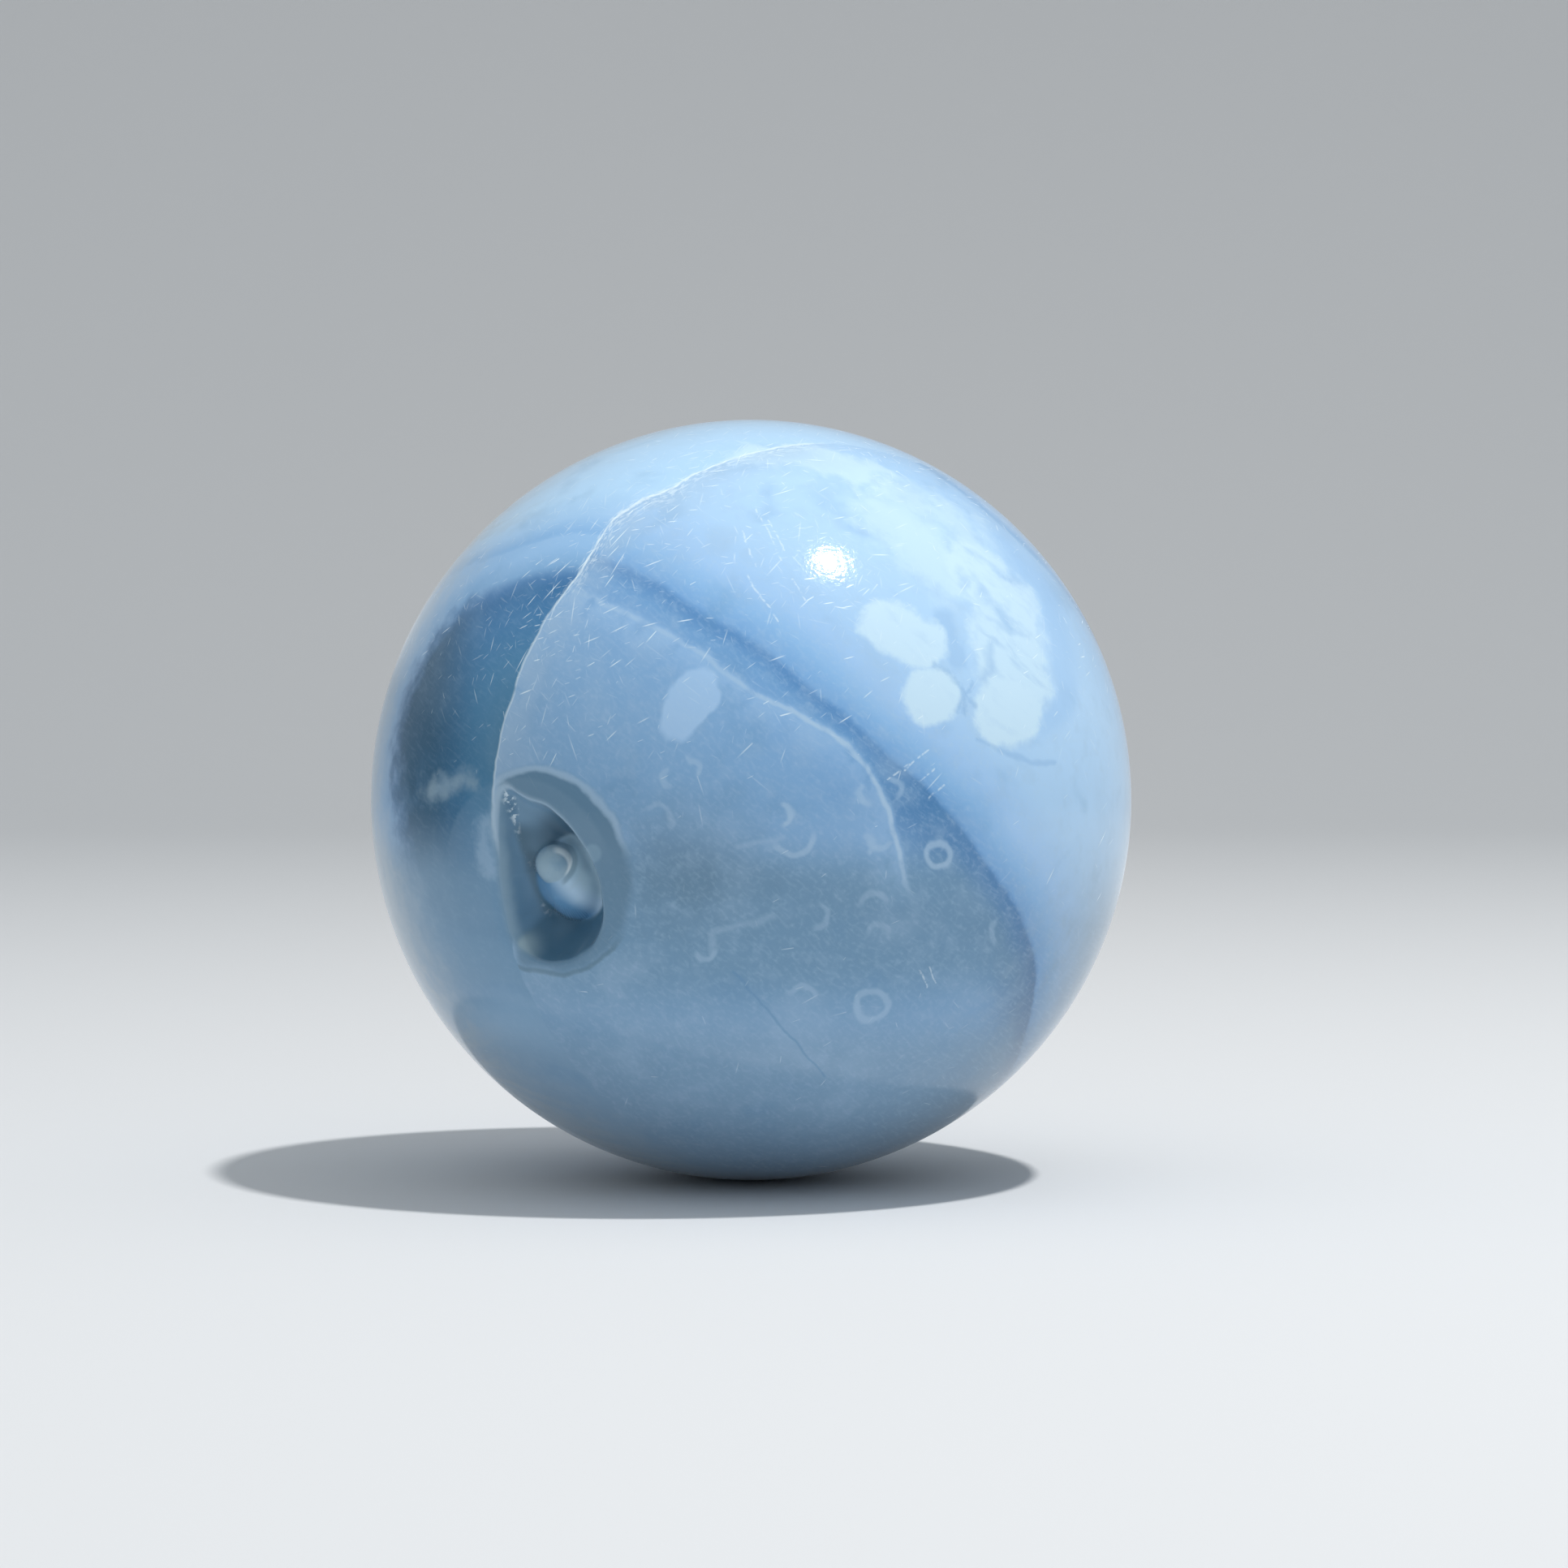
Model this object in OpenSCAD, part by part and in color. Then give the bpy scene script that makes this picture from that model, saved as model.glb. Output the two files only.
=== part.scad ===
// Polished sphere of milky blue opal, with one natural pocket, a vug, open in its side.
// The ball was ground from one rough piece of stone, so it is one solid.
// An old fault cuts the left side of the pocket to a flat wall with a broken lower edge,
// and a rounded mound with a bead on it, and a lower shelf, grew up from the pocket's floor.
// Frame: millimetres, origin at the sphere's centre, +Z up, the front faces -Y.

/* [Sphere] */
// Diameter of the polished sphere
sphere_d = 50; // [30:1:120]

/* [Vug] */
// Turn of the pocket round the sphere from the front, to the right
vug_lon = -35; // [-180:0.5:180]
// Height of the pocket above the sphere's equator, as an angle
vug_lat = -10.5; // [-80:0.5:80]
// Radius of the pocket's mouth
vug_r = 5.4; // [4:0.1:8]
// Depth of the pocket below the top of its mouth
vug_depth = 4.4; // [3:0.1:6]

/* [Fault wall] */
// Distance from the middle of the mouth to the wall, at the surface
fault_set = 1.9; // [0.5:0.1:4]
// Lean of the wall from the pocket's axis
fault_lean = 25.5; // [0:0.5:40]
// Height of the wall along its slope, from the surface to its broken edge
fault_height = 2.6; // [1.5:0.1:3.5]
// Slope of the broken edge, which lies deeper towards the bottom
fault_slope = 13; // [0:1:25]

/* [Lining] */
// Radius of the mound
mound_r = 2.5; // [1.2:0.1:3]
// Height of the mound's centre above the pocket's floor
mound_rise = 0.4; // [0:0.1:1]
// Tilt of the mound's foot from the pocket's deepest point
mound_tilt = 20; // [0:1:45]
// Heading of the mound's foot, from the right towards the top
mound_heading = -4; // [-180:1:180]
// Radius of the bead
bead_r = 1.1; // [0.8:0.05:1.4]
// Depth of the bead's centre below the mound's surface
bead_sink = 0.3; // [0:0.05:0.7]
// Tilt of the bead from the mound's crown
bead_tilt = 33; // [0:1:75]
// Heading of the bead from the mound's crown, from the right towards the top
bead_heading = 120; // [-180:1:180]
// Radius of the shelf that fills the upper left of the floor
shelf_r = 2.1; // [1:0.1:2.5]
// Height of the shelf's centre above the pocket's floor
shelf_rise = 0; // [0:0.1:0.5]
// Tilt of the shelf's foot from the pocket's deepest point
shelf_tilt = 28; // [0:1:45]
// Heading of the shelf's foot, from the right towards the top
shelf_heading = 104; // [-180:1:180]

/* [Hidden] */
$fn = 96;
sphere_r = sphere_d / 2;
// The pocket is a round bowl that meets the ball along the mouth's edge
rim_drop = sphere_r - sqrt(sphere_r * sphere_r - vug_r * vug_r);
pocket_up = (vug_r * vug_r + rim_drop * rim_drop - vug_depth * vug_depth) / (2 * (vug_depth - rim_drop));
pocket_r = vug_depth + pocket_up;
// Edge of the block of stone behind the fault, which reaches past the whole pocket
fault_block = 4 * vug_r;

// Sets its children off by a distance, on a heading round Z and at a tilt from Z
module set_off(distance, tilt, heading) {
    translate(distance * [sin(tilt) * cos(heading), sin(tilt) * sin(heading), cos(tilt)])
        children();
}

// Stone behind the fault, placed from the middle of the mouth: the wall is its right face
module fault_stone() {
    translate([-fault_set, 0, 0])
        rotate([0, -fault_lean, 0])
            translate([0, 0, -fault_height])
                rotate([fault_slope, 0, 0])
                    translate([-fault_block, -fault_block / 2, 0])
                        cube(fault_block);
}

// Mound with its bead, and shelf, placed from the pocket's centre
module lining() {
    set_off(pocket_r - mound_rise, 180 - mound_tilt, mound_heading) {
        sphere(r = mound_r);
        set_off(mound_r - bead_sink, bead_tilt, bead_heading)
            sphere(r = bead_r);
    }
    set_off(pocket_r - shelf_rise, 180 - shelf_tilt, shelf_heading)
        sphere(r = shelf_r);
}

// Empty space of the pocket, placed from the middle of the mouth, with Z out of the stone
module vug() {
    difference() {
        translate([0, 0, pocket_up])
            difference() {
                sphere(r = pocket_r);
                lining();
            }
        fault_stone();
    }
}

// The ball is cut with the pocket on top, then turned so that the pocket faces its way
module opal_sphere() {
    color("#86A8D2")
        rotate([90 - vug_lat, 0, vug_lon])
            difference() {
                sphere(d = sphere_d);
                translate([0, 0, sphere_r])
                    vug();
            }
}

opal_sphere();
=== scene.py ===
import math
import random

import bmesh
import bpy
from mathutils import Matrix, Vector, noise


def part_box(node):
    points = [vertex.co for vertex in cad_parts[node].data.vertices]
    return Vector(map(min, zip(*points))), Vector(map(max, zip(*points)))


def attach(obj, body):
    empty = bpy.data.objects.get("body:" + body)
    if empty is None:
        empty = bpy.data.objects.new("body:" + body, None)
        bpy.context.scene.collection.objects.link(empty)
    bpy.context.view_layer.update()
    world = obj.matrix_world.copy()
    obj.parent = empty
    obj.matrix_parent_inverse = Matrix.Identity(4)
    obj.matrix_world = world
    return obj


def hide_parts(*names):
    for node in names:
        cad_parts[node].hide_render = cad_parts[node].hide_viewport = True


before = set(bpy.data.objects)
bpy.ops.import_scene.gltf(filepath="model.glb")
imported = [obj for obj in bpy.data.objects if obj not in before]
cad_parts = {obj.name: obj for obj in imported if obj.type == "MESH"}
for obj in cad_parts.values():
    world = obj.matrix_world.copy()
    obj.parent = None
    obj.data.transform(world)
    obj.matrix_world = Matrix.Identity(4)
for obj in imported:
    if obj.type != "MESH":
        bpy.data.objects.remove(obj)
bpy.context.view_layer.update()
ballLow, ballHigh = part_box("opal_sphere")
mm = 0.001
ballRadius = (ballHigh.z - ballLow.z) / 2 / mm  # everything below is in millimetres until it is placed
print("frame loaded, ball radius", round(ballRadius, 3), "mm")


# Directions, points on the ball, and the elements of one kind in a mesh

def direction(lon, lat):
    east, up = math.radians(lon), math.radians(lat)
    return Vector((math.cos(up) * math.sin(east), -math.cos(up) * math.cos(east), math.sin(up)))


def frontPoint(x, z):
    return Vector((x, -math.sqrt(ballRadius ** 2 - x * x - z * z), z))


def setOff(distance, tilt, heading):
    lean, turn = math.radians(tilt), math.radians(heading)
    level = math.sin(lean)
    return distance * Vector((level * math.cos(turn), level * math.sin(turn), math.cos(lean)))


def ofKind(geometry, kind):
    return [part for part in geometry if isinstance(part, kind)]


# The stone: a ball spun round the pocket's axis, then pressed onto the pocket's own form

stone = {
    "vugLon": -35.0,         # where the pocket faces, in degrees
    "vugLat": -10.5,
    "mouthRadius": 5.4,
    "vugDepth": 4.4,
    "mouthSwells": (         # heading, spread and bulge
        (101, 12, 0.5), (45, 35, -0.27), (-28, 24, 0.38), (-110, 28, -1.1)),
    "floorRough": (0.12, 0.7),  # height and scale of the unevenness
    "faultSet": 1.9,         # flat wall on the left: its distance from the middle of the mouth
    "faultLean": 25.5,
    "faultHeight": 2.6,
    "faultSlope": 13.0,
    "wallRough": (0.05, 0.8),
    "chipRough": ((0.1, 1.9), (0.06, 4.3)),  # coarse and fine chips on the broken edge
    "moundRadius": 2.5,
    "moundRise": 0.4,
    "moundTilt": 20.0,
    "moundHeading": -4.0,
    "moundRough": (0.06, 1.1),
    "beadRadius": 1.1,
    "beadSink": 0.3,         # bead's centre below the mound's surface
    "beadTilt": 33.0,
    "beadHeading": 120.0,
    "beadSquash": (0.82, 0.9, 1.1),
    "beadShift": (0.15, 0.0, 0.0),
    "shelfRadius": 2.1,
    "shelfTilt": 28.0,
    "shelfHeading": 104.0,
    "shelfRun": (-0.15, 1.9, 0.0),  # the shelf climbs towards the upper corner of the mouth
    "ringDepth": 0.03,       # growth rings beside the bead
    "ringPitch": 13.0,
    "ringReach": 1.1,
    "ringSide": (1.2, 0.4),  # they show on the right of the bead, and a little above
    "rimRound": 0.4,         # softening of the mouth's edge on the right
    "wallRound": 0.9,        # and on the left, where the wall begins
    "wallFrom": -0.2,        # where the one goes over into the other
    "liningRound": 0.6,      # softening where the mound meets the walls
    "beadRound": 0.12,       # and where the bead sits on the mound
    "shelfRound": 0.8,
    "ridgeRound": 0.5,
    "trenchFill": 0.8,       # softening between the wall and the floor
    "trenchTop": 1.4,        # below this height the trench is filled more
    "spinSteps": 400,
    "backRings": 100,
    "rimRings": 30,
    "rimMargin": 1.05,       # the fine rings start a little outside the pressed zone
    "pocketRings": 90,
    "mergeGap": 0.0005,
    "sharpAngle": 50,
    "pressReach": 6.7,       # vertices within this distance of the axis are pressed
    "pressFrom": (4.2, 1.3, 2.8),  # eye point over the mouth that the pressing rays start from
    "pressPast": 2.0,        # how far a ray may go past its vertex
    "pressSteps": 120,
    "pressStride": 0.85,
    "pressNear": 0.001,
    "clearAir": 1.5,         # above this height only the ball counts
}

vugOut = direction(stone["vugLon"], stone["vugLat"])
vugEast = direction(stone["vugLon"] + 90, 0)
vugNorth = vugOut.cross(vugEast)
rimDrop = ballRadius - math.sqrt(ballRadius ** 2 - stone["mouthRadius"] ** 2)
pocketUp = stone["mouthRadius"] ** 2 + rimDrop ** 2 - stone["vugDepth"] ** 2
pocketUp /= 2 * (stone["vugDepth"] - rimDrop)
pocketRadius = stone["vugDepth"] + pocketUp
pocketCentre = Vector((0, 0, pocketUp))
moundCentre = pocketCentre + setOff(
    pocketRadius - stone["moundRise"], 180 - stone["moundTilt"], stone["moundHeading"])
beadCentre = moundCentre + setOff(
    stone["moundRadius"] - stone["beadSink"], stone["beadTilt"], stone["beadHeading"])
beadCentre += Vector(stone["beadShift"])
shelfCentre = pocketCentre + setOff(pocketRadius, 180 - stone["shelfTilt"], stone["shelfHeading"])
faultLean = math.radians(stone["faultLean"])
faultSlope = math.radians(stone["faultSlope"])


def placed(point):
    # from the pocket's own frame to the ball's
    return vugEast * point.x + vugNorth * point.y + vugOut * (point.z + ballRadius)


def clip(value):
    return min(max(value, 0), 1)


def softMax(a, b, width):
    overlap = max(width - abs(a - b), 0) / width
    return max(a, b) + overlap * overlap * width / 4


def rough(point, *waves):
    return sum(height * noise.noise(point * scale) for height, scale in waves)


def mouthSwell(point):
    heading = math.degrees(math.atan2(point.y, point.x))
    bulge = sum(amount * math.exp(-((heading - middle) / spread) ** 2)
                for middle, spread, amount in stone["mouthSwells"])
    return bulge * min(math.hypot(point.x, point.y) / stone["mouthRadius"], 1)


def faultStone(point):
    # below zero in the stone behind the fault, whose lower edge is broken
    across = (point.x + stone["faultSet"]) * math.cos(faultLean) + point.z * math.sin(faultLean)
    along = -(point.x + stone["faultSet"]) * math.sin(faultLean) + point.z * math.cos(faultLean)
    below = point.y * math.sin(faultSlope) - (along + stone["faultHeight"]) * math.cos(faultSlope)
    below += rough(point, *stone["chipRough"])
    across += rough(point, stone["wallRough"])
    return softMax(across, below, stone["ridgeRound"])


def stoneDistance(point):
    ball = (point + Vector((0, 0, ballRadius))).length - ballRadius
    if ball > stone["clearAir"]:
        return ball
    pocket = (point - pocketCentre).length - pocketRadius - mouthSwell(point)
    pocket += rough(point, stone["floorRough"])
    mound = (point - moundCentre).length - stone["moundRadius"] + rough(point, stone["moundRough"])
    toBead = point - beadCentre
    bead = (toBead * Vector(stone["beadSquash"])).length - stone["beadRadius"]
    eastward, northward = stone["ringSide"]
    ringShare = clip(stone["ringReach"] - bead) * clip(toBead.x * eastward + toBead.y * northward)
    pocket += stone["ringDepth"] * math.sin(bead * stone["ringPitch"]) * ringShare
    lining = -softMax(-mound, -bead, stone["beadRound"])
    toShelf = point - shelfCentre
    run = Vector(stone["shelfRun"])
    toShelf -= run * clip(toShelf.dot(run) / run.length_squared)
    shelf = toShelf.length - stone["shelfRadius"]
    hollow = softMax(softMax(pocket, -shelf, stone["shelfRound"]), -lining, stone["liningRound"])
    fill = stone["trenchFill"] * (1 + clip(stone["trenchTop"] - point.y))
    hollow = softMax(hollow, -faultStone(point), fill)
    toWall = clip(stone["wallFrom"] - point.x)
    return softMax(ball, -hollow, stone["rimRound"] + (stone["wallRound"] - stone["rimRound"]) * toWall)


def pressVertex(vertex):
    eye = Vector(stone["pressFrom"])
    ray = vertex - eye
    limit = ray.length + stone["pressPast"]
    ray.normalize()
    travel = 0.0
    for _ in range(stone["pressSteps"]):
        gap = stoneDistance(eye + ray * travel)
        travel += gap * stone["pressStride"]
        if abs(gap) < stone["pressNear"] or travel > limit:
            break
    return eye + ray * travel


# Small crystals along the broken lower edge of the wall

druse = {
    "seed": 7,
    "count": 24,
    "upper": (2.3, 3.7),     # every second one stands in this stretch, the others below it
    "lower": (-2.4, 2.3),
    "strayEast": (-0.12, 0.12),
    "strayOut": (-0.05, 0.2),
    "aimEast": (0.2, 1.0),
    "aimNorth": (-0.7, 0.7),
    "aimOut": (0.2, 1.0),
    "foot": (0.025, 0.048),  # radius
    "slender": (2.0, 3.2),   # height over radius
    "tip": 0.01,
}


def ridgePoint(north):
    drop = (north * math.tan(faultSlope) - stone["faultHeight"]) * math.cos(faultLean)
    return Vector((-stone["faultSet"] - drop * math.tan(faultLean), north, drop))


def growCrystals(bm, mouth):
    chance = random.Random(druse["seed"])

    def draw(name):
        return chance.uniform(*druse[name])

    for count in range(druse["count"]):
        seat = ridgePoint(draw("upper" if count % 2 else "lower"))
        seat += Vector((draw("strayEast"), 0, draw("strayOut")))
        aim = Vector((draw("aimEast"), draw("aimNorth"), draw("aimOut"))).normalized()
        foot = draw("foot")
        tall = foot * draw("slender")
        pose = Matrix.Translation(seat + mouth) @ aim.to_track_quat("Z", "Y").to_matrix().to_4x4()
        bmesh.ops.create_cone(bm, cap_ends=True, segments=6, radius1=foot, radius2=druse["tip"],
                              depth=tall, matrix=pose)


def makeStone():
    bm = bmesh.new()
    pocketHeight = ballRadius + pocketUp
    rimAngle = math.asin(stone["mouthRadius"] / ballRadius)
    nearAngle = math.asin(stone["pressReach"] * stone["rimMargin"] / ballRadius)
    pocketAngle = math.atan2(stone["mouthRadius"], pocketUp + rimDrop)
    # the half outline grows from one vertex at the far pole: back, rim zone, pocket
    last = [bm.verts.new((0, 0, -ballRadius))]
    for centre, axis, angle, steps in (
            ((0, 0, 0), (0, -1, 0), math.pi - nearAngle, stone["backRings"]),
            ((0, 0, 0), (0, -1, 0), nearAngle - rimAngle, stone["rimRings"]),
            ((0, 0, pocketHeight), (0, 1, 0), pocketAngle, stone["pocketRings"])):
        swept = bmesh.ops.spin(bm, geom=last, cent=centre, axis=axis, angle=angle, steps=steps)
        last = ofKind(swept["geom_last"], bmesh.types.BMVert)
    bmesh.ops.spin(bm, geom=bm.verts[:] + bm.edges[:], cent=(0, 0, 0), axis=(0, 0, 1),
                   angle=2 * math.pi, steps=stone["spinSteps"], use_merge=True)
    bmesh.ops.remove_doubles(bm, verts=bm.verts, dist=stone["mergeGap"])
    bmesh.ops.recalc_face_normals(bm, faces=bm.faces)
    mouth = Vector((0, 0, ballRadius))
    for vertex in bm.verts:
        if vertex.co.z > 0 and math.hypot(vertex.co.x, vertex.co.y) < stone["pressReach"]:
            vertex.co = pressVertex(vertex.co - mouth) + mouth
    growCrystals(bm, mouth)
    turn = Matrix.Rotation(math.radians(stone["vugLon"]), 4, "Z")
    turn = turn @ Matrix.Rotation(math.radians(90 - stone["vugLat"]), 4, "X")
    bmesh.ops.transform(bm, matrix=Matrix.Scale(mm, 4) @ turn, verts=bm.verts)
    for face in bm.faces:
        face.smooth = True
    mesh = bpy.data.meshes.new("opal_ball")
    bm.to_mesh(mesh)
    bm.free()
    mesh.set_sharp_from_angle(angle=math.radians(stone["sharpAngle"]))
    piece = bpy.data.objects.new("opal_ball", mesh)
    bpy.context.scene.collection.objects.link(piece)
    print("stone made,", len(mesh.polygons), "faces")
    return piece


# Shader sums, written as plain expressions on the sockets

class Wire:
    def __init__(self, socket):
        self.socket = socket

    @staticmethod
    def node(kind, settings, sockets, output=0):
        made = shader.nodes.new(kind)
        for name, value in settings.items():
            setattr(made, name, value)
        for name, value in sockets.items():
            if isinstance(value, Wire):
                shader.links.new(value.socket, made.inputs[name])
            else:
                made.inputs[name].default_value = value
        return Wire(made.outputs[output])

    def __add__(self, other):
        return reckon("ADD", self, other)

    def __radd__(self, other):
        return reckon("ADD", other, self)

    def __sub__(self, other):
        return reckon("SUBTRACT", self, other)

    def __rsub__(self, other):
        return reckon("SUBTRACT", other, self)

    def __mul__(self, other):
        return reckon("MULTIPLY", self, other)

    def __rmul__(self, other):
        return reckon("MULTIPLY", other, self)

    def __truediv__(self, other):
        return reckon("DIVIDE", self, other)

    def __rtruediv__(self, other):
        return reckon("DIVIDE", other, self)

    def __abs__(self):
        return reckon("ABSOLUTE", self)

    def dot(self, other):
        return reckon("DOT_PRODUCT", self, other)

    def length(self):
        return reckon("LENGTH", self)

    def unit(self):
        return reckon("NORMALIZE", self)


def isThin(term):
    # a number or a single value, and not a vector or a colour
    return isinstance(term, (int, float)) or isinstance(term, Wire) and term.socket.type == "VALUE"


def reckon(operation, *terms):
    thin = [term for term in terms if isThin(term)]
    if len(thin) == len(terms):
        return Wire.node("ShaderNodeMath", {"operation": operation}, dict(enumerate(terms)))
    if thin and operation == "MULTIPLY":
        # a value times a vector has its own operation
        vector = terms[0] if thin[0] is terms[1] else terms[1]
        return Wire.node("ShaderNodeVectorMath", {"operation": "SCALE"}, {0: vector, "Scale": thin[0]})
    terms = [(term,) * 3 if isinstance(term, (int, float)) else term for term in terms]
    output = "Value" if operation in ("DOT_PRODUCT", "LENGTH") else 0
    return Wire.node("ShaderNodeVectorMath", {"operation": operation}, dict(enumerate(terms)), output)


def least(*terms):
    result = terms[0]
    for term in terms[1:]:
        result = reckon("MINIMUM", result, term)
    return result


def most(*terms):
    result = terms[0]
    for term in terms[1:]:
        result = reckon("MAXIMUM", result, term)
    return result


def span(a, b):
    return reckon("SQRT", a * a + b * b)


def rise(value, start, end):
    # soft step from 0 at start to 1 at end, which may lie below start
    return Wire.node("ShaderNodeMapRange", {"interpolation_type": "SMOOTHSTEP"},
                     {"Value": value, "From Min": start, "From Max": end})


def clamp(value):
    return Wire.node("ShaderNodeClamp", {}, {"Value": value})


def paint(under, over, amount):
    return Wire.node("ShaderNodeMix", {"data_type": "RGBA"}, {0: amount, 6: under, 7: over}, 2)


def cloud(place, scale, detail=2.0, output="Fac"):
    return Wire.node("ShaderNodeTexNoise", {}, {"Vector": place, "Scale": scale, "Detail": detail}, output)


def join(a, b, c=0.0):
    return Wire.node("ShaderNodeCombineXYZ", {}, {0: a, 1: b, 2: c})


def parts(vector):
    split = Wire.node("ShaderNodeSeparateXYZ", {}, {0: vector}).socket.node
    return [Wire(output) for output in split.outputs]


def ramp(value, stops):
    low, high = stops[0][0], stops[-1][0]
    made = Wire.node("ShaderNodeValToRGB", {}, {"Fac": (value - low) / (high - low)})
    elements = made.socket.node.color_ramp.elements
    elements[0].color = stops[0][1] + (1,)
    elements[1].color = stops[-1][1] + (1,)
    for place, colour in stops[1:-1]:
        elements.new((place - low) / (high - low)).color = colour + (1,)
    return made


def curve(value, points):
    # smooth line through given points
    left, right = points[0][0], points[-1][0]
    low, high = min(y for x, y in points), max(y for x, y in points)
    made = Wire.node("ShaderNodeFloatCurve", {}, {"Value": (value - left) / (right - left)})
    mapping = made.socket.node.mapping
    line = mapping.curves[0].points
    line[0].location = (0, (points[0][1] - low) / (high - low))
    line[1].location = (1, (points[-1][1] - low) / (high - low))
    for x, y in points[1:-1]:
        line.new((x - left) / (right - left), (y - low) / (high - low))
    mapping.update()
    return made * (high - low) + low


# Opal: inks and fields that its finishes share, and marks laid on it as seen from the front

material = bpy.data.materials.new("opal")
material.use_nodes = True
shader = material.node_tree

inks = {
    "haze": (0.36, 0.53, 0.72, 1),
    "dusk": (0.165, 0.32, 0.48, 1),
    "low": (0.235, 0.39, 0.56, 1),
    "porcelain": (0.57, 0.77, 0.91, 1),
    "vein": (0.30, 0.50, 0.76, 1),
    "line": (0.44, 0.62, 0.80, 1),
    "dark": (0.12, 0.29, 0.50, 1),
    "needle": (0.75, 0.89, 0.97, 1),
}

here = Wire.node("ShaderNodeTexCoord", {}, {}, "Object") * (1 / mm)
drift = cloud(here, 0.16, 1.0, "Color") - 0.5
ripple = cloud(here, 0.9, 1.0, "Color") - 0.5
bent = here + drift * 1.1 + ripple * 0.3  # bands and marks follow the stone's own slight bends
x, y, z = parts(here)
front = rise(y, 1.0, -5.0)
back = rise(y, 0.0, 6.0)
flat = bent * Vector((1, 0, 1))
outward = here.unit()
mottle = cloud(here + drift * 4.0, 0.22, 3.0)  # wide clouds, then small ones, then fine grain
veil = cloud(here, 0.75, 3.0)
grain = cloud(here, 3.2, 2.0)


def onFront(px, pz):
    return Vector((px, 0, pz))


def spot(px, pz):
    return (flat - onFront(px, pz)).length()


def stroke(a, b):
    reach = onFront(*b) - onFront(*a)
    start = flat - onFront(*a)
    share = clamp(start.dot(reach / reach.length_squared))
    return (start - share * reach).length()


def path(*points):
    return least(*[stroke(a, b) for a, b in zip(points, points[1:])])


def blot(limbs):
    # a shape of thick bent lines, each given by its points and its half width
    return least(*[path(*points) - half for points, half in limbs])


# Two blocks of banded stone that meet along a healed seam

blocks = {
    "seamAcross": direction(30.5, -3.0),
    "seamSet": 8.5,
    "seamHalf": 0.15,
    "bedUp": Vector((0.596, 0.463, 0.655)),  # across the layers of the right block
    "bedAlong": Vector((0.666, 0.171, -0.726)),
    "bedEdge": (             # lower edge of the pale layers: place along them, and height
        (-25, -2.6), (-19, -3.2), (-15.5, -3.6), (-10.2, -3.5), (-5.3, -3.6), (1.5, -3.2),
        (8.7, -2.7), (11.4, -2.4), (14.2, -2.2), (16.6, -2.4), (19, -3.2), (25, -5)),
    "rightBands": (          # height over that edge, and ink
        (-27, (0.26, 0.44, 0.64)), (-12, (0.23, 0.42, 0.65)), (-5, (0.23, 0.43, 0.69)),
        (-2.4, (0.20, 0.40, 0.68)), (-1.4, (0.17, 0.37, 0.65)), (-0.35, (0.10, 0.27, 0.54)),
        (-0.08, (0.12, 0.30, 0.58)), (0.1, (0.19, 0.40, 0.70)), (1.5, (0.27, 0.50, 0.79)),
        (3, (0.36, 0.58, 0.86)), (6, (0.42, 0.64, 0.88)), (15, (0.46, 0.68, 0.91)),
        (21.5, (0.36, 0.59, 0.86)), (22.0, (0.22, 0.44, 0.73)), (23, (0.34, 0.56, 0.84)),
        (27, (0.44, 0.66, 0.90))),
    "edge": (0.08, 0.23, 0.46, 1),  # dark band under the edge, and its lower end
    "edgeLow": (0.065, 0.18, 0.36, 1),
    "leftCentre": direction(-35, 8.6),
    "coreRadius": 12.0,      # dark core of the left block
    "leftBands": (           # distance from its centre, and ink
        (0, (0.075, 0.215, 0.34)), (6, (0.06, 0.225, 0.41)), (9, (0.045, 0.20, 0.41)),
        (11.1, (0.03, 0.165, 0.37)), (11.8, (0.055, 0.20, 0.43)), (12.7, (0.21, 0.42, 0.68)),
        (14.2, (0.29, 0.52, 0.80)), (15.1, (0.30, 0.53, 0.81)), (15.3, (0.23, 0.46, 0.76)),
        (16.6, (0.37, 0.60, 0.86)), (19, (0.46, 0.70, 0.93)), (31, (0.46, 0.69, 0.92)),
        (37.5, (0.36, 0.58, 0.85)), (38, (0.16, 0.36, 0.64)), (41, (0.27, 0.48, 0.76)),
        (46, (0.38, 0.60, 0.86)), (50, (0.30, 0.50, 0.75))),
    "tealShade": (0.006, 0.085, 0.165, 1),
    "patch": ((-20.0, 1.2), (-17.6, 1.8)),
    "patchInk": (0.34, 0.48, 0.58, 1),
}

kink = rise(abs(x + 7.9), 3.4, 0.3) * rise(z, 12.0, 18.0) * 0.8  # bulge of the seam near its top
seam = bent.dot(blocks["seamAcross"]) - blocks["seamSet"] + kink
right = rise(seam, -0.06, 0.06)
height = bent.dot(blocks["bedUp"])
along = bent.dot(blocks["bedAlong"])
side = rise(x, -15.0, -20.5)
ringed = (bent - blocks["leftCentre"] * ballRadius).length() - blocks["coreRadius"]
ringed = ringed + ((veil - 0.5) * 3.0 - 1.2) * side
ringed = blocks["coreRadius"] + ringed * (1 - 0.5 * side)  # rings, ragged and drawn out at the far left


def rightBlock():
    depth = height - curve(along, blocks["bedEdge"])
    under = rise(depth, -0.2, -2.4)
    band = ramp(depth, blocks["rightBands"])
    edgeInk = paint(blocks["edge"], blocks["edgeLow"], rise(along, 12.0, 18.0))
    inEdge = rise(along, -4.0, 3.0) * rise(depth, -5.0, -1.4) * rise(depth, 0.0, -0.3)
    band = paint(band, edgeInk, inEdge * 0.85)
    dusk = rise(z, -1.0, -4.5) * rise(z, -14.0, -9.0) * under
    band = paint(band, inks["dusk"], dusk * 0.85)
    return paint(band, inks["low"], rise(z, -11.0, -16.0) * under)


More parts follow.
